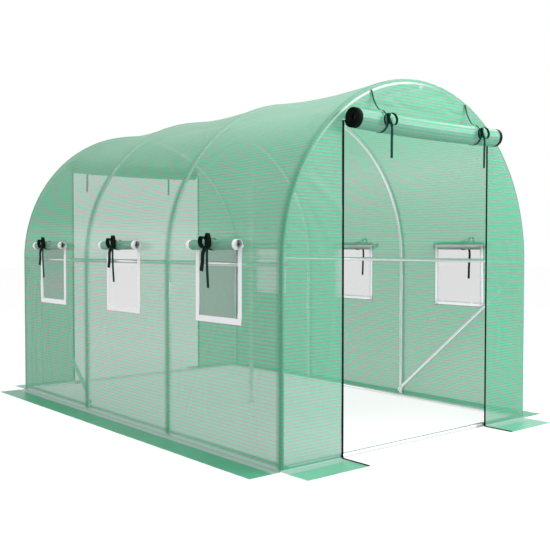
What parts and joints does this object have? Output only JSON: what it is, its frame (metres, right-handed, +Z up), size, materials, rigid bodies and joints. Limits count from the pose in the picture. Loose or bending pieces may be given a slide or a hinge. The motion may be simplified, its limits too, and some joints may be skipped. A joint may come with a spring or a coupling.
{
  "type": "polytunnel greenhouse",
  "caption": "Walk-in polytunnel greenhouse: round-topped hoops of steel tube under a woven green film with rolled-up doors, roll-up side windows and ground skirts.",
  "frame": {"origin": "on the ground, at the middle of the tunnel's length and width", "axes": "+Y along the tunnel from the front doorway to the back one, +X to the right seen from the front, +Z up"},
  "size_m": [2.38, 3.411, 1.99],
  "materials": {
    "steel_tube": "galvanised, satin",
    "cover_film": "woven grid film, translucent, slight sheen",
    "rolled_film": "woven grid film in many layers, slight sheen",
    "window_tape": "matt woven tape",
    "window_screen": "fine white net",
    "zip_tape": "matt woven tape with a coil zip",
    "tie_tape": "matt woven tape"
  },
  "bodies": {
    "root": {"back_brace": "steel_tube", "back_door_roll": "rolled_film", "back_door_zips": "zip_tape", "back_ground_rail": "steel_tube", "back_hoop_arch": "steel_tube", "back_hoop_legs": "steel_tube", "back_left_panel": "cover_film", "back_middle_hoop_arch": "steel_tube", "back_middle_hoop_legs": "steel_tube", "back_over_door_panel": "cover_film", "back_right_panel": "cover_film", "back_roof": "cover_film", "back_skirt": "cover_film", "door_ties": "tie_tape", "front_brace": "steel_tube", "front_door_roll": "rolled_film", "front_door_zips": "zip_tape", "front_ground_rail": "steel_tube", "front_hoop_arch": "steel_tube", "front_hoop_legs": "steel_tube", "front_left_panel": "cover_film", "front_middle_hoop_arch": "steel_tube", "front_middle_hoop_legs": "steel_tube", "front_over_door_panel": "cover_film", "front_right_panel": "cover_film", "front_roof": "cover_film", "front_skirt": "cover_film", "left_ground_rail": "steel_tube", "left_purlin": "steel_tube", "left_skirt": "cover_film", "left_wall": "cover_film", "left_window_borders": "window_tape", "left_window_rolls": "rolled_film", "left_window_screens": "window_screen", "middle_roof": "cover_film", "ridge_pole": "steel_tube", "ridge_prop": "steel_tube", "right_ground_rail": "steel_tube", "right_purlin": "steel_tube", "right_skirt": "cover_film", "right_wall": "cover_film", "right_window_borders": "window_tape", "right_window_rolls": "rolled_film", "right_window_screens": "window_screen", "window_ties": "tie_tape"}
  },
  "joints": []
}
